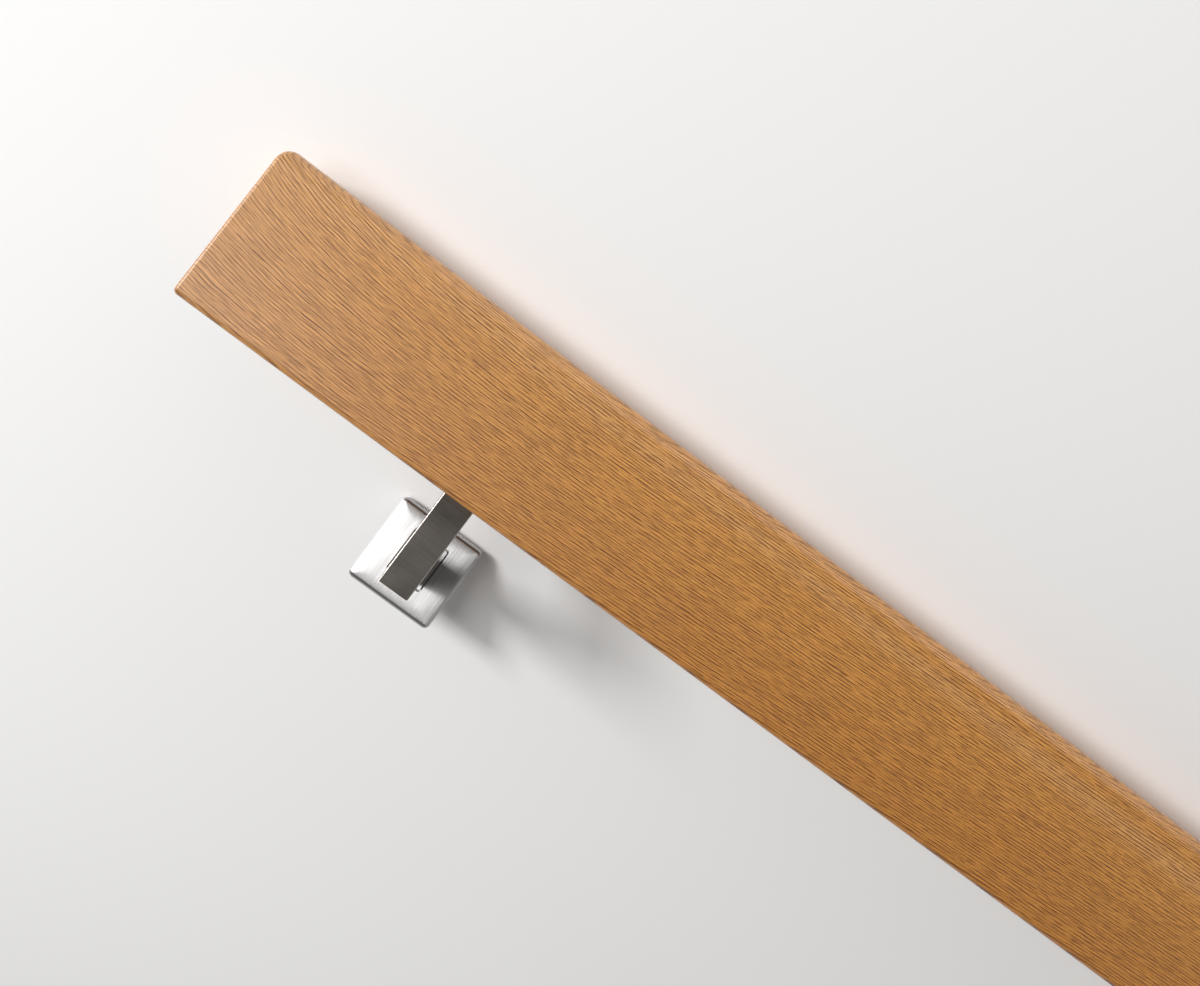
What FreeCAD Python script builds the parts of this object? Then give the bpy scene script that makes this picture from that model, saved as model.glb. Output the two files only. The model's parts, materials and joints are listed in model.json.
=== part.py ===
import FreeCAD, Part
import math
import os
import Sketcher

# Wall handrail length on three brackets. Lengths in mm, angles in degrees.
# Local frame of every piece: X along the rail, Y down the wall, Z out of the wall, with the origin at the
# centre of a rose on the wall. The rest pose turns this frame about X, so that the part lies on its back.

SIZES = {
    "rail_length": 2400,
    "rail_height": 80,
    "rail_thickness": 40,
    "top_edge_radius": 8,
    "bottom_edge_radius": 3,
    "end_top_radius": 6,
    "end_edge_radius": 2,
    "bracket_count": 3,
    "end_to_bracket": 150,
    "rose_to_rail": 41,
    "wall_clearance": 52,
    "rose_size": 50,
    "rose_depth": 8,
    "rose_edge_radius": 3,
    "rose_sheet": 1.5,
    "boss_side": 1.9,
    "boss_end": 4.1,
    "boss_rise": 2,
    "boss_corner_radius": 1,
    "slot_side_gap": 0.8,
    "slot_end_gap": 1.2,
    "plate_thickness": 4,
    "plate_gap": 0.3,
    "plate_corner_radius": 1.5,
    "screw_hole_radius": 2.6,
    "screw_head_radius": 4.8,
    "bar_size": 16,
    "bar_edge_radius": 0.8,
    "bolt_radius": 4,
    "bolt_clearance": 0.1,
    "bolt_end_clearance": 1,
    "bore_in_rail": 36,
    "bore_in_bar": 21,
    "bolt_chamfer": 1,
}

NEAR = 1e-6

doc = FreeCAD.newDocument("wall_handrail")
sheet = doc.addObject("Spreadsheet::Sheet", "Sizes")
for row, (alias, value) in enumerate(SIZES.items(), 1):
    sheet.set(f"A{row}", str(value))
    sheet.setAlias(f"A{row}", alias)
doc.recompute()

# Rest pose: the rounded back edge of the rail and the upper edge of each rose touch the floor.
EDGE_DROP = "(Sizes.rose_to_rail + Sizes.rail_height - Sizes.top_edge_radius)"
BACK_EDGE_OUT = "(Sizes.wall_clearance + Sizes.top_edge_radius)"
FRONT_EDGE_OUT = "(Sizes.wall_clearance + Sizes.rail_thickness - Sizes.top_edge_radius)"
REACH = f"({EDGE_DROP} - Sizes.rose_size / 2)"
TILT = (
    f"(atan({BACK_EDGE_OUT} / {REACH})"
    f" - asin(Sizes.top_edge_radius / sqrt({BACK_EDGE_OUT} ^ 2 + {REACH} ^ 2)))"
)
FLOOR_Z = f"Sizes.rose_size / 2 * sin({TILT})"
NEAR_Y = f"({EDGE_DROP} * cos({TILT}) + {FRONT_EDGE_OUT} * sin({TILT}) + Sizes.top_edge_radius)"
FAR_Y = f"(Sizes.rose_size / 2 * cos({TILT}))"
MIDDLE_Y = f"({NEAR_Y} - {FAR_Y}) / 2"

# Places shared by several pieces.
BAR_CENTRE = "(Sizes.wall_clearance + Sizes.rail_thickness / 2)"
BORE_RADIUS = "Sizes.bolt_radius + Sizes.bolt_clearance"
BOSS_WIDTH = "(Sizes.bar_size + 2 * Sizes.boss_side)"
BOSS_HEIGHT = "(Sizes.bar_size + 2 * Sizes.boss_end)"
BOSS_Y = "-Sizes.boss_rise"
PLATE_HALF = "(Sizes.rose_size / 2 - Sizes.rose_sheet - Sizes.plate_gap)"
SCREW_PLACE = f"(({BOSS_WIDTH} / 2 + {PLATE_HALF}) / 2)"
SPAN = "(Sizes.rail_length - 2 * Sizes.end_to_bracket)"


def station(number):
    """Distance along the rail from its middle to one bracket."""
    return f"({number} / (Sizes.bracket_count - 1) - 0.5) * {SPAN}"


def lay(piece, along):
    """Bind the piece to its place in the rest pose."""
    piece.Placement = FreeCAD.Placement(FreeCAD.Vector(), FreeCAD.Rotation(FreeCAD.Vector(1, 0, 0), 30))
    piece.setExpression("Placement.Base.x", along)
    piece.setExpression("Placement.Base.y", MIDDLE_Y)
    piece.setExpression("Placement.Base.z", FLOOR_Z)
    piece.setExpression("Placement.Rotation.Angle", TILT)


def new_body(label):
    body = doc.addObject("PartDesign::Body", label)
    body.Label = label
    return body


def new_sketch(body, role, offset="0"):
    """Sketch on one of the body's own origin planes, moved along the plane's normal."""
    sketch = body.newObject("Sketcher::SketchObject", "sketch")
    plane = next(p for p in body.Origin.OriginFeatures if p.Role == role)
    sketch.AttachmentSupport = [(plane, "")]
    sketch.MapMode = "FlatFace"
    sketch.setExpression("AttachmentOffset.Base.z", offset)
    return sketch


def bind_point(sketch, curve, point, place):
    for kind, where in zip(("DistanceX", "DistanceY"), place):
        index = sketch.addConstraint(Sketcher.Constraint(kind, -1, 1, curve, point, 1.0))
        sketch.setExpression(f"Constraints[{index}]", where)


def outline(sketch, places):
    """Closed outline of straight lines through corners that are bound to the sheet."""
    count = len(places)
    turns = [2 * math.pi * i / count for i in range(count)]
    rough = [FreeCAD.Vector(10 * math.cos(a), 10 * math.sin(a), 0) for a in turns]
    for i in range(count):
        sketch.addGeometry(Part.LineSegment(rough[i], rough[(i + 1) % count]))
    for i in range(count):
        sketch.addConstraint(Sketcher.Constraint("Coincident", i, 2, (i + 1) % count, 1))
    for i, place in enumerate(places):
        bind_point(sketch, i, 1, place)


def rectangle(half_width, half_height, middle="0"):
    """Corners of a rectangle centred on the sketch's vertical axis, with its middle at a given height."""
    left, right = f"-{half_width}", half_width
    low, high = f"{middle} - {half_height}", f"{middle} + {half_height}"
    return [(left, low), (right, low), (right, high), (left, high)]


def circle(sketch, place, radius):
    curve = sketch.addGeometry(Part.Circle(FreeCAD.Vector(1, 1, 0), FreeCAD.Vector(0, 0, 1), 1))
    bind_point(sketch, curve, 3, place)
    index = sketch.addConstraint(Sketcher.Constraint("Radius", curve, 1.0))
    sketch.setExpression(f"Constraints[{index}]", radius)


def pad(body, sketch, length, midplane=False):
    feature = body.newObject("PartDesign::Pad", "pad")
    feature.Profile = sketch
    feature.Midplane = midplane
    feature.setExpression("Length", length)
    doc.recompute()
    return feature


def pocket(body, sketch, length, along_normal):
    feature = body.newObject("PartDesign::Pocket", "pocket")
    feature.Profile = sketch
    feature.Reversed = along_normal
    feature.setExpression("Length", length)
    doc.recompute()
    return feature


def edges_of(feature, wanted):
    return [f"Edge{i}" for i, e in enumerate(feature.Shape.Edges, 1) if wanted(e.BoundBox)]


def dress(body, kind, feature, wanted, prop, size):
    """Round or chamfer the chosen edges of the body's last feature."""
    dressing = body.newObject(kind, "dressing")
    dressing.Base = (feature, edges_of(feature, wanted))
    dressing.setExpression(prop, size)
    doc.recompute()
    return dressing


def fillet(body, feature, wanted, radius):
    return dress(body, "PartDesign::Fillet", feature, wanted, "Radius", radius)


def chamfer(body, feature, wanted, size):
    return dress(body, "PartDesign::Chamfer", feature, wanted, "Size", size)


def upright_edge(box):
    """Edge that runs along Z only."""
    return box.ZLength > NEAR and box.XLength < NEAR and box.YLength < NEAR


def at_z(box, z):
    return abs(box.ZMin - z) < NEAR and abs(box.ZMax - z) < NEAR


def at_y(box, y):
    return abs(box.YMin - y) < NEAR and abs(box.YMax - y) < NEAR


def end_roundings(shape):
    """Edge numbers of both end outlines with the radius at each end of the edge: full along the top,
    easing through the rounded top corners to the small radius of the sides and the bottom."""
    high, low = sheet.end_top_radius, sheet.end_edge_radius
    box = shape.BoundBox
    rows = []
    for i, edge in enumerate(shape.Edges, 1):
        if edge.BoundBox.XLength > NEAR or abs(edge.BoundBox.XMin) < box.XMax - NEAR:
            continue
        ends = [edge.valueAt(t) for t in (edge.FirstParameter, edge.LastParameter)]
        radii = [high if p.y < box.YMin + NEAR else low for p in ends]
        rows.append((i, radii[0], radii[1]))
    return rows


def make_handrail():
    """Solid oak length with rounded top edges, eased lower edges and ends, bored for the hanger bolts."""
    body = new_body("handrail_blank")
    section = new_sketch(body, "YZ_Plane")
    under, top = "-Sizes.rose_to_rail", "-(Sizes.rose_to_rail + Sizes.rail_height)"
    back, front = "Sizes.wall_clearance", "Sizes.wall_clearance + Sizes.rail_thickness"
    outline(section, [(top, back), (under, back), (under, front), (top, front)])
    blank = pad(body, section, "Sizes.rail_length", midplane=True)
    limits = blank.Shape.BoundBox
    rounded = fillet(
        body, blank, lambda b: at_y(b, limits.YMin) and b.XLength > NEAR, "Sizes.top_edge_radius"
    )
    fillet(
        body, rounded, lambda b: at_y(b, limits.YMax) and b.XLength > NEAR, "Sizes.bottom_edge_radius"
    )
    bores = new_sketch(body, "XZ_Plane", "Sizes.rose_to_rail")
    for number in range(int(sheet.bracket_count)):
        circle(bores, (station(number), BAR_CENTRE), BORE_RADIUS)
    pocket(body, bores, "Sizes.bore_in_rail", along_normal=True)
    rail = doc.addObject("Part::Fillet", "handrail")
    rail.Label = "handrail"
    rail.Base = body
    rail.Edges = end_roundings(body.Shape)
    lay(body, "0")
    doc.recompute()
    return rail


def make_wall_plate(label, along):
    """Plate with four countersunk screw holes and the boss that fills the slot of the rose."""
    body = new_body(label)
    square = new_sketch(body, "XY_Plane")
    outline(square, rectangle(PLATE_HALF, PLATE_HALF))
    plate = pad(body, square, "Sizes.plate_thickness")
    plate = fillet(body, plate, upright_edge, "Sizes.plate_corner_radius")
    holes = new_sketch(body, "XY_Plane")
    for place in rectangle(SCREW_PLACE, SCREW_PLACE):
        circle(holes, place, "Sizes.screw_hole_radius")
    drilled = pocket(body, holes, "Sizes.plate_thickness", along_normal=True)
    hole_size = 2 * sheet.screw_hole_radius
    chamfer(
        body,
        drilled,
        lambda b: at_z(b, sheet.plate_thickness) and abs(b.XLength - hole_size) < 0.01,
        "Sizes.screw_head_radius - Sizes.screw_hole_radius",
    )
    foot = new_sketch(body, "XY_Plane")
    outline(foot, rectangle(f"{BOSS_WIDTH} / 2", f"{BOSS_HEIGHT} / 2", BOSS_Y))
    boss = pad(body, foot, "Sizes.rose_depth")
    fillet(
        body,
        boss,
        lambda b: upright_edge(b) and abs(b.ZMax - sheet.rose_depth) < NEAR,
        "Sizes.boss_corner_radius",
    )
    lay(body, along)
    return body


def make_rose_cover(label, along):
    """Square cover pressed from sheet, open at the back, with a slot for the boss."""
    body = new_body(label)
    square = new_sketch(body, "XY_Plane")
    outline(square, rectangle("Sizes.rose_size / 2", "Sizes.rose_size / 2"))
    block = pad(body, square, "Sizes.rose_depth")
    fillet(body, block, lambda b: upright_edge(b) or at_z(b, sheet.rose_depth), "Sizes.rose_edge_radius")
    hollow = new_sketch(body, "XY_Plane")
    inner = "(Sizes.rose_size / 2 - Sizes.rose_sheet)"
    outline(hollow, rectangle(inner, inner))
    cup = pocket(body, hollow, "Sizes.rose_depth - Sizes.rose_sheet", along_normal=True)
    side, floor = sheet.rose_size / 2 - sheet.rose_sheet, sheet.rose_depth - sheet.rose_sheet
    fillet(
        body,
        cup,
        lambda b: at_z(b, floor) or (upright_edge(b) and abs(abs(b.XMin) - side) < NEAR),
        "Sizes.rose_edge_radius - Sizes.rose_sheet",
    )
    opening = new_sketch(body, "XY_Plane")
    slot_width = f"({BOSS_WIDTH} / 2 + Sizes.slot_side_gap)"
    slot_height = f"({BOSS_HEIGHT} / 2 + Sizes.slot_end_gap)"
    outline(opening, rectangle(slot_width, slot_height, BOSS_Y))
    slotted = pocket(body, opening, "Sizes.rose_depth", along_normal=True)
    slot_side = sheet.bar_size / 2 + sheet.boss_side + sheet.slot_side_gap
    fillet(
        body,
        slotted,
        lambda b: upright_edge(b) and abs(abs(b.XMin) - slot_side) < NEAR,
        "Sizes.boss_corner_radius + Sizes.slot_side_gap",
    )
    lay(body, along)
    return body


def make_arm(label, along):
    """Square bar out of the rose and up to the rail, its top bored for the hanger bolt."""
    body = new_body(label)
    profile = new_sketch(body, "YZ_Plane")
    half = "Sizes.bar_size / 2"
    top = "-Sizes.rose_to_rail"
    front, inside = f"{BAR_CENTRE} + {half}", f"{BAR_CENTRE} - {half}"
    corners = [
        (half, "Sizes.rose_depth"),
        (half, front),
        (top, front),
        (top, inside),
        (f"-{half}", inside),
        (f"-{half}", "Sizes.rose_depth"),
    ]
    outline(profile, corners)
    bar = pad(body, profile, "Sizes.bar_size", midplane=True)
    fillet(
        body,
        bar,
        lambda b: b.XLength < NEAR
        and not at_y(b, -sheet.rose_to_rail)
        and not at_z(b, sheet.rose_depth),
        "Sizes.bar_edge_radius",
    )
    bore = new_sketch(body, "XZ_Plane", "Sizes.rose_to_rail")
    circle(bore, ("0", BAR_CENTRE), BORE_RADIUS)
    pocket(body, bore, "Sizes.bore_in_bar", along_normal=False)
    lay(body, along)
    return body


def make_hanger_bolt(label, along):
    """Stud between the upright and the rail, a little short of the bottom of each bore."""
    body = new_body(label)
    start = "Sizes.rose_to_rail - Sizes.bore_in_bar + Sizes.bolt_end_clearance"
    length = "Sizes.bore_in_rail + Sizes.bore_in_bar - 2 * Sizes.bolt_end_clearance"
    section = new_sketch(body, "XZ_Plane", start)
    circle(section, ("0", BAR_CENTRE), "Sizes.bolt_radius")
    stud = pad(body, section, length)
    chamfer(body, stud, lambda b: b.XLength > NEAR and b.YLength < NEAR, "Sizes.bolt_chamfer")
    lay(body, along)
    return body


pieces = [make_handrail()]
for number in range(int(sheet.bracket_count)):
    name = f"bracket_{number + 1}"
    along = station(number)
    pieces.append(make_wall_plate(f"{name}_wall_plate", along))
    pieces.append(make_rose_cover(f"{name}_rose_cover", along))
    pieces.append(make_arm(f"{name}_arm", along))
    pieces.append(make_hanger_bolt(f"{name}_hanger_bolt", along))
doc.recompute()

for item in doc.Objects:
    if "Invalid" in item.State or "Error" in item.State:
        raise RuntimeError(f"{item.Label} did not build: {item.State}")

os.makedirs("parts", exist_ok=True)
for piece in pieces:
    if piece.Shape.isNull() or not piece.Shape.isValid():
        raise RuntimeError(f"{piece.Label} has no valid shape")
    piece.Shape.exportStep(f"parts/{piece.Label}.step")
    limits = piece.Shape.BoundBox
    print(piece.Label, len(piece.Shape.Solids), round(piece.Shape.Volume, 1), limits)
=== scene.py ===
import json
import math

import bmesh
import bpy
from mathutils import Matrix, Vector


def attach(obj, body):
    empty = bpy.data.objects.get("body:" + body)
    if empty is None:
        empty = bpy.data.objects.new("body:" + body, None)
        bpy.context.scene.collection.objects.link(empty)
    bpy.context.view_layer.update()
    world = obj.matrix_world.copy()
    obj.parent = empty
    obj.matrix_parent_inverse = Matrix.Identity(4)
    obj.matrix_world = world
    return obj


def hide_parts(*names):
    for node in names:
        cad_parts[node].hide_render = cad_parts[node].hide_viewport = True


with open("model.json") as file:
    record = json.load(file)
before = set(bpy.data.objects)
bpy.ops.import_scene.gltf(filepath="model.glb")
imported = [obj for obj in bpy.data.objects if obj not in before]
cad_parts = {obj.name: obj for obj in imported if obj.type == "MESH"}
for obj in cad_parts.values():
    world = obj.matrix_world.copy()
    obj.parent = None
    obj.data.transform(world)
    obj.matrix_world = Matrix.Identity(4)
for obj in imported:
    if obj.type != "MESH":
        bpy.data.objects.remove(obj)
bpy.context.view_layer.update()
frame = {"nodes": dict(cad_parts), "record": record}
nodes = frame["nodes"]
mounts = {m["name"]: m for m in frame["record"]["mounts"]}

# Sizes of the part in metres, as in its solids.
RAIL_LENGTH = 2.4
RAIL_HEIGHT = 0.080
RAIL_THICKNESS = 0.040
TOP_RADIUS = 0.008
BOTTOM_RADIUS = 0.003
END_TOP_RADIUS = 0.006
END_RADIUS = 0.002
ROSE_TO_RAIL = 0.041
WALL_CLEARANCE = 0.052
BORE_RADIUS = 0.0041
BORE_DEPTH = 0.036
END_TO_BRACKET = 0.150
BRACKETS = 3
ROSE_SIDE = 0.050
ROSE_DEPTH = 0.008
ROSE_SHEET = 0.0015
ROSE_CORNER = 0.003
SLOT_WIDTH = 0.0214
SLOT_HEIGHT = 0.0266
SLOT_RISE = 0.002
SLOT_CORNER = 0.0018

# The pressed rim of the rose in the scene alone: its edge, the flat middle and the slope where they meet.
ROSE_EDGE = 0.0028
ROSE_FLAT = 0.032
ROSE_EDGE_SLOPE = math.radians(9)

# Steps of the meshes round each curve and along the rail.
TOP_STEPS = 24
BOTTOM_STEPS = 14
END_STEPS = 14
LENGTH_STEPS = 24
BORE_STEPS = 32
CORNER_STEPS = 8
EDGE_STEPS = 12
DOME_STEPS = 10
LIP_STEPS = 6

# Frame of the wall: X along the rail, Y down the wall, Z out of the wall, origin at the middle rose.
ALONG, DOWN, OUT = 0, 1, 2
out_of_wall = -Vector(mounts["wall_face_2"]["axis"])
down_wall = out_of_wall.cross(Vector((1, 0, 0))).normalized()
WALL_AXES = [Vector((1, 0, 0)), down_wall, out_of_wall]
WALL = Matrix((
    (1, down_wall.x, out_of_wall.x, 0),
    (0, down_wall.y, out_of_wall.y, mounts["wall_face_2"]["pos_m"][1]),
    (0, down_wall.z, out_of_wall.z, mounts["wall_face_2"]["pos_m"][2]),
    (0, 0, 0, 1),
))
PHOTO_X = mounts["wall_face_3"]["pos_m"][0]


def bracket_x(number):
    """Place of a bracket along the rail, numbered from 1."""
    span = RAIL_LENGTH - 2 * END_TO_BRACKET
    return ((number - 1) / (BRACKETS - 1) - 0.5) * span


def from_photo(x, up, out):
    """Point near the bracket of the photo, in mm along the rail to the right, up the wall and out of it."""
    return WALL @ Vector((PHOTO_X - x / 1000, -up / 1000, out / 1000))


def photo_direction(x, up, out):
    return (WALL.to_3x3() @ Vector((-x, -up, out))).normalized()


# Materials


class Shader:
    """Small helper that adds nodes to one material and links them."""

    def __init__(self, name):
        self.material = bpy.data.materials.new(name)
        self.material.use_nodes = True
        self.tree = self.material.node_tree
        self.bsdf = self.tree.nodes["Principled BSDF"]

    def add(self, kind, inputs=None, **settings):
        node = self.tree.nodes.new(kind)
        for key, value in settings.items():
            setattr(node, key, value)
        for key, value in (inputs or {}).items():
            self.put(node.inputs[key], value)
        return node

    def put(self, socket, value):
        if isinstance(value, bpy.types.NodeSocket):
            self.tree.links.new(value, socket)
        else:
            socket.default_value = value

    def set(self, **values):
        """Put values into the surface, with _ for each space in a socket's name."""
        for key, value in values.items():
            self.put(self.bsdf.inputs[key.replace("_", " ")], value)

    def math(self, operation, a, b=0.0, clamp=False):
        node = self.add("ShaderNodeMath", {0: a, 1: b}, operation=operation, use_clamp=clamp)
        return node.outputs[0]

    def plus(self, a, b):
        return self.math("ADD", a, b)

    def minus(self, a, b):
        return self.math("SUBTRACT", a, b)

    def times(self, a, b):
        return self.math("MULTIPLY", a, b)

    def decay(self, distance, reach):
        """1 at no distance, falling by a factor of e over each reach."""
        return self.math("EXPONENT", self.times(distance, -1 / reach))

    def wall_place(self):
        """Place on the part in the frame of the wall."""
        place = self.add("ShaderNodeTexCoord").outputs["Object"]
        inputs = {"Vector": place, "Location": WALL.to_translation(), "Rotation": WALL.to_euler()}
        return self.add("ShaderNodeMapping", inputs, vector_type="TEXTURE").outputs[0]

    def join(self, x, y, z):
        return self.add("ShaderNodeCombineXYZ", {0: x, 1: y, 2: z}).outputs[0]

    def vector_math(self, operation, a, b, output=0):
        return self.add("ShaderNodeVectorMath", {0: a, 1: b}, operation=operation).outputs[output]

    def distance(self, vector, rates):
        """Distance to the nearest of the points scattered one to a cell of a stretched grid, in cells."""
        place = self.vector_math("MULTIPLY", vector, rates)
        cells = self.add(
            "ShaderNodeTexVoronoi",
            {"Vector": place, "Scale": 1.0, "Randomness": 0.8},
            feature="F1",
            voronoi_dimensions="2D",
        )
        return cells.outputs["Distance"]

    def ramp(self, value, low, high):
        """0 below low, 1 above high, smooth between."""
        inputs = {"Value": value, "From Min": low, "From Max": high}
        return self.add("ShaderNodeMapRange", inputs, interpolation_type="SMOOTHSTEP").outputs[0]

    def noise(self, vector, rates, detail=2.0, roughness=0.5):
        """Noise with a rate in cycles to the metre along each axis."""
        place = self.vector_math("MULTIPLY", vector, rates)
        inputs = {"Vector": place, "Scale": 1.0, "Detail": detail, "Roughness": roughness}
        return self.add("ShaderNodeTexNoise", inputs).outputs["Fac"]

    def lines(self, place, pitch, sway):
        """Even lines over a pitch, above 0 on a line and below 0 between: they darken nothing on average."""
        turn = self.plus(self.times(place, 2 * math.pi / pitch), sway)
        return self.minus(self.ramp(self.math("SINE", turn), LINE_LOW, LINE_HIGH), LINE_MEAN)

    def mix(self, factor, a, b):
        node = self.add("ShaderNodeMix", data_type="RGBA")
        self.put(node.inputs["Factor"], factor)
        self.put(node.inputs["A"], a)
        self.put(node.inputs["B"], b)
        return node.outputs["Result"]

    def bump(self, height, strength, distance):
        inputs = {"Strength": strength, "Distance": distance, "Height": height}
        self.set(Normal=self.add("ShaderNodeBump", inputs).outputs[0])


def linear(rgb):
    """Linear colour of an sRGB colour given as 0 to 255."""
    def one(c):
        c /= 255
        return c / 12.92 if c <= 0.04045 else ((c + 0.055) / 1.055) ** 2.4
    return tuple(one(c) for c in rgb) + (1.0,)


# Oak: colours in sRGB, lengths in metres, and rates in cycles to the metre along, across and into the wood.
OAK_LIGHT_BAND = (212, 148, 67)
OAK_DARK_BAND = (205, 140, 59)
# Painted shade: the deeper colour towards the underside.
OAK_PAINTED_SHADE = (166, 101, 26)
# Painted sheen: the paler colour of a streak near the top edge.
OAK_PAINTED_SHEEN = (212, 162, 106)
# Painted sheen and painted light: the paler colour towards the upper end.
OAK_PAINTED_END_SHEEN = (212, 160, 102)
OAK_LINE = (92, 46, 8)
OAK_PORE = (84, 42, 6)
GRAIN_DRIFT = -0.10
GRAIN_DIVE = 0.03
END_BEND = 0.044
END_BEND_FALL = 0.32
END_BEND_REACH = 0.09
END_REACH = 0.15
WAVE_RATES = (55.0, 120.0, 120.0)
WAVE_SIZE = 0.0007
END_WAVE_SIZE = 0.0013
RING_SLANT = 0.8
BAND_RATES = (1.5, 110.0, 1.0)
PORE_RATES = (25.0, 700.0, 1.0)
LINE_LOW, LINE_HIGH, LINE_MEAN = -0.10, 0.95, 0.36
FADE_LOW, FADE_HIGH = 0.32, 0.58
# Place, sway and width of the painted sheen streak near the top edge.
PAINTED_SHEEN_PLACE = 0.008
PAINTED_SHEEN_DRIFT = 0.020
PAINTED_SHEEN_WIDTH = 0.005
# Reach of the painted sheen and light at the upper end.
PAINTED_END_SHEEN_REACH = 0.20


def oak_material():
    s = Shader("oak")
    part = s.add("ShaderNodeSeparateXYZ", {0: s.wall_place()})
    along = s.minus(RAIL_LENGTH / 2, part.outputs["X"])
    from_top = s.plus(part.outputs["Y"], ROSE_TO_RAIL + RAIL_HEIGHT)
    depth = part.outputs["Z"]
    near_end = s.decay(along, END_REACH)
    drift = s.math("SINE", along)

    # The grain runs down across the face at the upper end and slowly back up along the length.
    end_bend = s.minus(1.0, s.decay(along, END_BEND_REACH))
    bend = s.times(end_bend, s.minus(END_BEND, s.times(from_top, END_BEND_FALL)))
    across = s.minus(from_top, s.plus(s.times(drift, GRAIN_DRIFT), bend))
    wave = s.noise(s.join(along, across, depth), WAVE_RATES, detail=1.0)
    wave_size = s.plus(WAVE_SIZE, s.times(near_end, END_WAVE_SIZE))
    across = s.plus(across, s.times(s.minus(wave, 0.5), wave_size))
    inward = s.minus(depth, s.times(along, GRAIN_DIVE))
    grain = s.join(along, across, inward)

    # Growth rings lie at a slant through the section. Two sets of fine lines follow them and their mirror
    # image, swaying and fading in and out along the grain. Pores are short dashes on the rings.
    ring = s.plus(across, s.times(inward, RING_SLANT))
    counter_ring = s.minus(across, s.times(inward, RING_SLANT))
    sheet = s.join(along, ring, 0.0)
    counter_sheet = s.join(along, counter_ring, 0.0)
    bands = s.noise(sheet, BAND_RATES, detail=3.0, roughness=0.6)

    sway = s.times(s.noise(sheet, (8.0, 70.0, 1.0), detail=1.0), 14.0)
    fade = s.noise(grain, (150.0, 1000.0, 900.0), detail=0.0)
    vessel = s.times(s.lines(ring, 0.0018, sway), s.ramp(fade, FADE_LOW, FADE_HIGH))

    sway = s.times(s.noise(counter_sheet, (12.0, 90.0, 1.0), detail=1.0), 16.0)
    elsewhere = s.vector_math("ADD", grain, (5.3, 2.9, 1.1))
    fade = s.noise(elsewhere, (230.0, 1400.0, 1200.0), detail=0.0)
    thread = s.times(s.lines(counter_ring, 0.0012, sway), s.ramp(fade, FADE_LOW, FADE_HIGH))

    dark_share = s.plus(s.times(vessel, 0.90), s.times(thread, 0.65))
    dark_share = s.times(dark_share, s.minus(1.0, s.times(near_end, 0.45)))
    dark_share = s.math("ADD", dark_share, LINE_MEAN, clamp=True)
    pore_size = s.plus(0.15, s.times(bands, 0.08))
    pore = s.ramp(s.minus(pore_size, s.distance(sheet, PORE_RATES)), -0.03, 0.05)

    # Painted shade: the colour deepens towards the underside. Painted sheen: a paler streak near the top
    # edge and a paler upper end, which also paints the brighter light there.
    sheen_middle = s.plus(PAINTED_SHEEN_PLACE, s.times(drift, PAINTED_SHEEN_DRIFT))
    from_sheen_line = s.times(s.minus(from_top, sheen_middle), 1 / PAINTED_SHEEN_WIDTH)
    painted_sheen_line = s.math("EXPONENT", s.times(s.math("POWER", from_sheen_line, 2.0), -1.0))
    painted_shade = s.ramp(from_top, 0.0, RAIL_HEIGHT)
    painted_end_sheen = s.decay(along, PAINTED_END_SHEEN_REACH)

    colour = s.mix(s.ramp(bands, 0.25, 0.75), linear(OAK_LIGHT_BAND), linear(OAK_DARK_BAND))
    # Painted shade, deepening towards the underside.
    colour = s.mix(s.times(painted_shade, 0.50), colour, linear(OAK_PAINTED_SHADE))
    # Painted sheen in a streak near the top edge.
    colour = s.mix(s.times(painted_sheen_line, 0.40), colour, linear(OAK_PAINTED_SHEEN))
    # Painted sheen and painted light, paler towards the upper end.
    colour = s.mix(s.times(painted_end_sheen, 0.60), colour, linear(OAK_PAINTED_END_SHEEN))
    colour = s.mix(dark_share, colour, linear(OAK_LINE))
    colour = s.mix(s.times(pore, 0.25), colour, linear(OAK_PORE))
    s.set(Base_Color=colour, Roughness=s.plus(0.44, s.times(pore, 0.25)), Specular_IOR_Level=0.45)
    s.set(Coat_Weight=0.6, Coat_IOR=1.6, Coat_Roughness=0.36)
    groove = s.plus(pore, s.times(vessel, 0.6))
    s.bump(s.times(groove, -1.0), strength=0.3, distance=0.0003)
    return s.material


# Brush marks on the steel: cycles to the metre across them, and how many times longer than wide they are.
MARK_RATE = 2600.0
MARK_LENGTH = 60.0
CLOUD_RATES = (70.0, 70.0, 70.0)
MARK_DARKNESS = 0.80
END_FACE = 0.7


def steel_material(name, colour, roughness, brushed, lines, stretch):
    """Satin steel. Fine lines run along one axis of the wall frame, and highlights stretch along another."""
    s = Shader(name)
    place = s.wall_place()
    rates = [MARK_RATE, MARK_RATE, MARK_RATE]
    rates[lines] = MARK_RATE / MARK_LENGTH
    marks = s.noise(place, rates, roughness=0.7)
    clouds = s.noise(place, CLOUD_RATES)
    bright = tuple(colour) + (1.0,)
    dark = tuple(MARK_DARKNESS * c for c in colour) + (1.0,)
    spread = s.times(s.minus(s.plus(marks, clouds), 1.0), 0.18)
    s.set(Base_Color=s.mix(s.ramp(marks, 0.3, 0.7), dark, bright), Roughness=s.plus(spread, roughness))
    s.set(Metallic=1.0, Anisotropic=brushed)

    # A face that looks along the stretch axis has no such direction in it, so there it runs out of the wall.
    normal = s.add("ShaderNodeNewGeometry").outputs["Normal"]
    facing = s.vector_math("DOT_PRODUCT", normal, WALL_AXES[stretch], output="Value")
    end_face = s.math("GREATER_THAN", s.math("ABSOLUTE", facing), END_FACE)
    tangent = s.add("ShaderNodeMix", data_type="VECTOR")
    s.put(tangent.inputs["Factor"], end_face)
    s.put(tangent.inputs["A"], WALL_AXES[stretch])
    s.put(tangent.inputs["B"], WALL_AXES[OUT])
    s.set(Tangent=tangent.outputs["Result"])
    s.bump(marks, strength=0.10, distance=0.0001)
    return s.material


# Pieces


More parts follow.
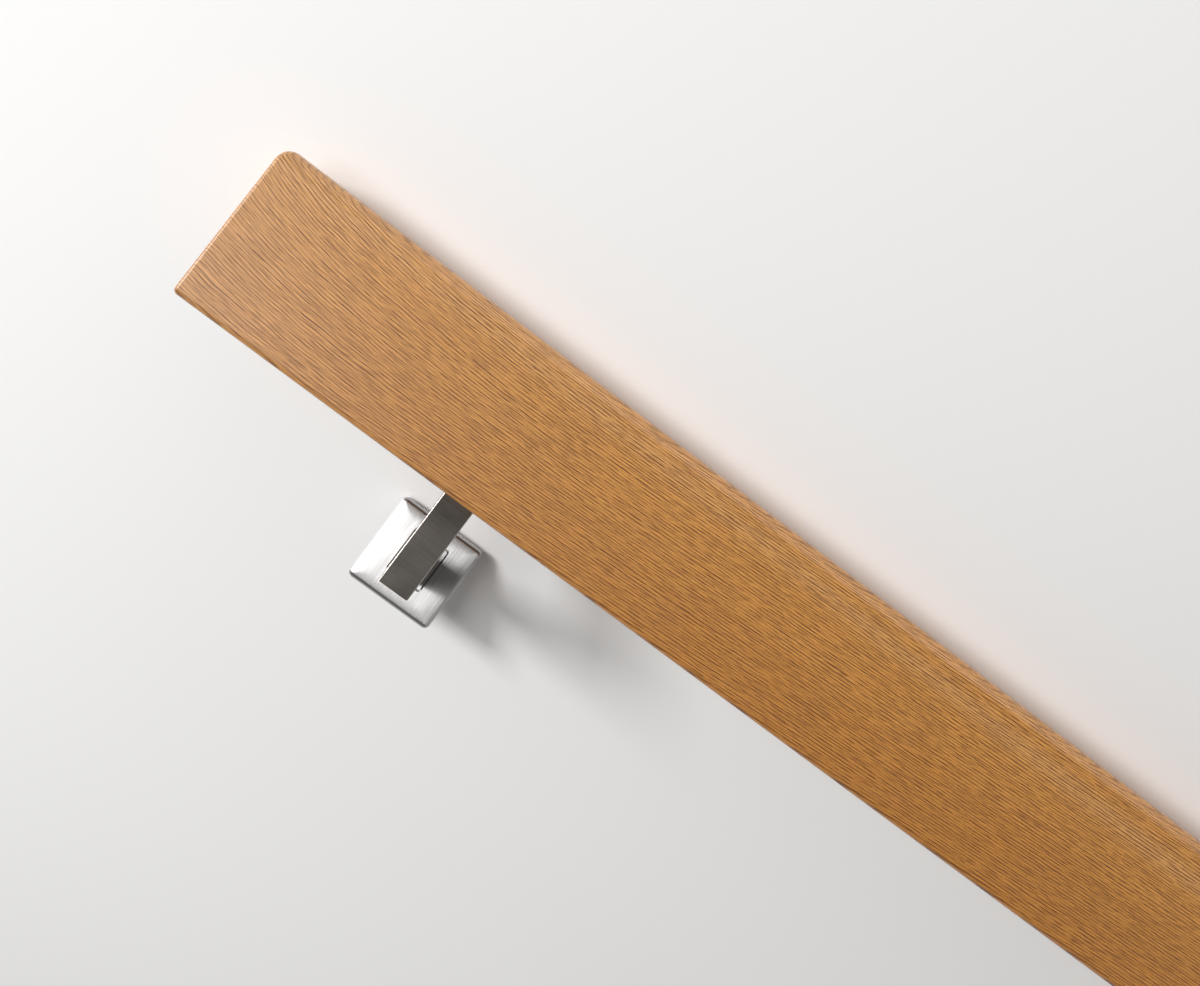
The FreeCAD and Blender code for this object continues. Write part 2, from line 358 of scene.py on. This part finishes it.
def rail_outline():
    """Points round the rail's section with their outward normals and the rounding of the end there."""
    top, under = -(ROSE_TO_RAIL + RAIL_HEIGHT), -ROSE_TO_RAIL
    back, front = WALL_CLEARANCE, WALL_CLEARANCE + RAIL_THICKNESS
    corners = [
        (top, back, TOP_RADIUS, 180, TOP_STEPS, True),
        (under, back, BOTTOM_RADIUS, 270, BOTTOM_STEPS, False),
        (under, front, BOTTOM_RADIUS, 0, BOTTOM_STEPS, False),
        (top, front, TOP_RADIUS, 90, TOP_STEPS, True),
    ]
    rows = []
    for y, z, radius, start, steps, is_top in corners:
        cy = y + radius if y == top else y - radius
        cz = z + radius if z == back else z - radius
        for i in range(steps + 1):
            turn = math.radians(start + 90 * i / steps)
            ny, nz = math.cos(turn), math.sin(turn)
            share = abs(ny) if ny < 0 else 0.0
            ease = math.degrees(math.asin(min(1.0, share))) / 90 if is_top else 0.0
            end_radius = END_RADIUS + (END_TOP_RADIUS - END_RADIUS) * ease
            rows.append((cy + radius * ny, cz + radius * nz, ny, nz, end_radius))
    return rows


def add_object(name, bm, material):
    mesh = bpy.data.meshes.new(name)
    bm.to_mesh(mesh)
    bm.free()
    for polygon in mesh.polygons:
        polygon.use_smooth = True
    mesh.materials.append(material)
    obj = bpy.data.objects.new(name, mesh)
    bpy.context.scene.collection.objects.link(obj)
    return obj


def make_rail(material):
    outline = rail_outline()
    bm = bmesh.new()
    turns = [math.radians(90 * i / END_STEPS) for i in range(END_STEPS + 1)]
    rings = []
    half = RAIL_LENGTH / 2
    for side in (-1, 1):
        order = reversed(turns) if side < 0 else turns
        for turn in order:
            ring = []
            for y, z, ny, nz, radius in outline:
                inset = radius * (1 - math.cos(turn))
                x = side * (half - radius * (1 - math.sin(turn)))
                ring.append(bm.verts.new((x, y - ny * inset, z - nz * inset)))
            rings.append(ring)
        if side < 0:
            for i in range(1, LENGTH_STEPS):
                x = -half + RAIL_LENGTH * i / LENGTH_STEPS
                rings.append([bm.verts.new((x, y, z)) for y, z, ny, nz, radius in outline])
    count = len(outline)
    for a, b in zip(rings, rings[1:]):
        for i in range(count):
            j = (i + 1) % count
            bm.faces.new((a[i], b[i], b[j], a[j]))
    bm.faces.new(list(reversed(rings[0])))
    bm.faces.new(rings[-1])
    bmesh.ops.recalc_face_normals(bm, faces=bm.faces)
    bm.transform(WALL)
    rail = add_object("oak_rail", bm, material)

    cutter = bmesh.new()
    for number in range(1, BRACKETS + 1):
        middle = (bracket_x(number), -ROSE_TO_RAIL - BORE_DEPTH / 2, WALL_CLEARANCE + RAIL_THICKNESS / 2)
        bmesh.ops.create_cone(
            cutter, cap_ends=True, segments=BORE_STEPS, depth=BORE_DEPTH,
            radius1=BORE_RADIUS, radius2=BORE_RADIUS,
            matrix=Matrix.Translation(middle) @ Matrix.Rotation(math.radians(90), 4, "X"),
        )
    cutter.transform(WALL)
    drill = add_object("drill", cutter, material)
    cut = rail.modifiers.new("bores", "BOOLEAN")
    cut.object = drill
    cut.solver = "EXACT"
    bpy.context.view_layer.update()
    drilled = bpy.data.meshes.new_from_object(rail.evaluated_get(bpy.context.evaluated_depsgraph_get()))
    rail.modifiers.clear()
    rail.data = drilled
    bpy.data.objects.remove(drill)
    weighted = rail.modifiers.new("flat_faces", "WEIGHTED_NORMAL")
    weighted.keep_sharp = True
    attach(rail, "root")
    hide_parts("handrail")


def rounded_ring(bm, half_x, half_y, radius, z, middle_y=0.0):
    """Ring of points round a rectangle with round corners, in the frame of the wall."""
    ring = []
    for quarter, (side_x, side_y) in enumerate([(1, 1), (-1, 1), (-1, -1), (1, -1)]):
        for i in range(CORNER_STEPS + 1):
            turn = math.radians(90 * (quarter + i / CORNER_STEPS))
            x = side_x * (half_x - radius) + radius * math.cos(turn)
            y = side_y * (half_y - radius) + radius * math.sin(turn)
            ring.append(bm.verts.new((x, middle_y + y, z)))
    return ring


def make_rose(number, material):
    """Pressed cover of a bracket: a square cap with a slightly domed rim, a slot and an open back."""
    half, inner = ROSE_SIDE / 2, ROSE_SIDE / 2 - ROSE_SHEET
    turns = [(math.pi / 2 - ROSE_EDGE_SLOPE) * i / EDGE_STEPS for i in range(EDGE_STEPS + 1)]
    edge_half = half - ROSE_EDGE * (1 - math.cos(turns[-1]))
    dome_run = edge_half - ROSE_FLAT / 2
    dome_rise = dome_run * math.tan(ROSE_EDGE_SLOPE) / 2
    edge_base = ROSE_DEPTH - dome_rise - ROSE_EDGE * math.sin(turns[-1])
    ceiling = ROSE_DEPTH - ROSE_SHEET
    slot = (SLOT_WIDTH / 2, SLOT_HEIGHT / 2, SLOT_CORNER)
    bm = bmesh.new()
    rings = [rounded_ring(bm, half, half, ROSE_CORNER, 0.0)]
    for turn in turns:
        inset = ROSE_EDGE * (1 - math.cos(turn))
        rise = edge_base + ROSE_EDGE * math.sin(turn)
        rings.append(rounded_ring(bm, half - inset, half - inset, ROSE_CORNER - inset, rise))
    last_corner = ROSE_CORNER - (half - edge_half)
    for i in range(1, DOME_STEPS + 1):
        run = i / DOME_STEPS
        size = edge_half - run * dome_run
        rise = ROSE_DEPTH - dome_rise * (1 - run) ** 2
        rings.append(rounded_ring(bm, size, size, last_corner + run * (ROSE_CORNER - last_corner), rise))
    rim = len(rings) - 1
    rings.append(rounded_ring(bm, *slot, ROSE_DEPTH, -SLOT_RISE))
    rings.append(rounded_ring(bm, *slot, ceiling, -SLOT_RISE))
    for i in range(LIP_STEPS + 1):
        turn = math.radians(90 * i / LIP_STEPS)
        size = inner - ROSE_SHEET * (1 - math.sin(turn))
        depth = ceiling - ROSE_SHEET * (1 - math.cos(turn))
        rings.append(rounded_ring(bm, size, size, ROSE_SHEET, depth))
    rings.append(rounded_ring(bm, inner, inner, ROSE_SHEET, 0.0))
    count = len(rings[0])
    for a, b in zip(rings, rings[1:] + rings[:1]):
        for i in range(count):
            j = (i + 1) % count
            bm.faces.new((a[i], a[j], b[j], b[i]))
    for ring in (rings[0], rings[rim + 1], rings[rim + 2], rings[-1]):
        for i in range(count):
            bm.edges.get((ring[i], ring[(i + 1) % count])).smooth = False
    bmesh.ops.recalc_face_normals(bm, faces=bm.faces)
    bm.transform(WALL @ Matrix.Translation((bracket_x(number), 0, 0)))
    rose = add_object("bracket_%d_rose" % number, bm, material)
    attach(rose, "root")
    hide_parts("bracket_%d_rose_cover" % number)


rose_steel = steel_material("rose_steel", (0.55, 0.54, 0.535), 0.40, 0.88, lines=DOWN, stretch=ALONG)
# Partly painted shade and painted reflection: the bar's steel is darker and warmer than the rose's, standing
# in for the dark surroundings and the brown rail underside it reflects.
bar_steel = steel_material("bar_steel", (0.42, 0.385, 0.35), 0.34, 0.75, lines=ALONG, stretch=DOWN)
bolt_steel = steel_material("bolt_steel", (0.60, 0.60, 0.58), 0.35, 0.2, lines=ALONG, stretch=DOWN)

make_rail(oak_material())
for number in range(1, BRACKETS + 1):
    make_rose(number, rose_steel)
for name, node in nodes.items():
    if name.endswith("_arm"):
        finish = bar_steel
    elif name.endswith("_hanger_bolt"):
        finish = bolt_steel
    else:
        finish = rose_steel
    node.data.materials.clear()
    node.data.materials.append(finish)

# Floor

FLOOR_HALF = 30.0

floor_shader = Shader("pale_floor")
floor_shader.set(Base_Color=(0.87, 0.868, 0.864, 1.0), Roughness=0.9, Specular_IOR_Level=0.1)
floor_mesh = bmesh.new()
bmesh.ops.create_grid(floor_mesh, x_segments=1, y_segments=1, size=FLOOR_HALF)
floor = add_object("floor", floor_mesh, floor_shader.material)

# Camera, at the place of the photo's in the frame of its bracket

PHOTO_WIDTH = 1200
FOCAL_PIXELS = 1045.9
SENSOR_WIDTH = 36.0
CAMERA_PLACE = (6.2, 58.7, 550.4)
CAMERA_RIGHT = (0.79639, 0.59632, 0.10085)
CAMERA_AHEAD = (0.08886, 0.04956, -0.99481)

camera_data = bpy.data.cameras.new("camera")
camera_data.sensor_fit = "HORIZONTAL"
camera_data.sensor_width = SENSOR_WIDTH
camera_data.lens = SENSOR_WIDTH * FOCAL_PIXELS / PHOTO_WIDTH
camera_data.clip_start = 0.01
camera_data.clip_end = 100.0
camera = bpy.data.objects.new("camera", camera_data)
right = photo_direction(*CAMERA_RIGHT)
ahead = photo_direction(*CAMERA_AHEAD)
up = right.cross(ahead)
turn = Matrix((right, up, -ahead)).transposed().to_4x4()
camera.matrix_world = Matrix.Translation(from_photo(*CAMERA_PLACE)) @ turn
bpy.context.scene.collection.objects.link(camera)
bpy.context.scene.camera = camera
bpy.context.scene.view_settings.view_transform = "Standard"

# Light: a world that is pale at the horizon and darker overhead, and three lamps

HORIZON, HORIZON_COLOUR = 0.05, (0.80, 0.80, 0.80, 1.0)
OVERHEAD, OVERHEAD_COLOUR = 0.75, (0.13, 0.125, 0.12, 1.0)
LAMP_AIM = (100, 60, 60)

world = bpy.data.worlds.new("studio")
bpy.context.scene.world = world
world.use_nodes = True
tree = world.node_tree
look = tree.nodes.new("ShaderNodeTexCoord")
height = tree.nodes.new("ShaderNodeSeparateXYZ")
sky = tree.nodes.new("ShaderNodeValToRGB")
tree.links.new(look.outputs["Generated"], height.inputs[0])
tree.links.new(height.outputs["Z"], sky.inputs[0])
tree.links.new(sky.outputs[0], tree.nodes["Background"].inputs["Color"])
low, high = sky.color_ramp.elements
low.position, low.color = HORIZON, HORIZON_COLOUR
high.position, high.color = OVERHEAD, OVERHEAD_COLOUR


def studio_light(name, turn, rise, reach, length, width, power):
    """Lamp aimed near the bracket, its length along the rail.

    Turn is counted round the view from its right, and rise from the plane of the view towards the camera.
    """
    turn, rise = math.radians(turn), math.radians(rise)
    toward = math.cos(rise) * (math.cos(turn) * right + math.sin(turn) * up) - math.sin(rise) * ahead
    side = Vector((1, 0, 0))
    side = (side - side.dot(toward) * toward).normalized()
    data = bpy.data.lights.new(name, "AREA")
    data.shape = "RECTANGLE"
    data.size = length
    data.size_y = width
    data.energy = power
    lamp = bpy.data.objects.new(name, data)
    place = Matrix.Translation(from_photo(*LAMP_AIM) + reach * toward)
    lamp.matrix_world = place @ Matrix((side, toward.cross(side), toward)).transposed().to_4x4()
    bpy.context.scene.collection.objects.link(lamp)


studio_light("window", turn=149, rise=38, reach=3.0, length=0.8, width=0.8, power=70.0)
studio_light("room_left", turn=165, rise=61, reach=2.2, length=1.2, width=1.2, power=15.0)
studio_light("room_above", turn=38, rise=35, reach=2.2, length=2.6, width=0.5, power=9.0)
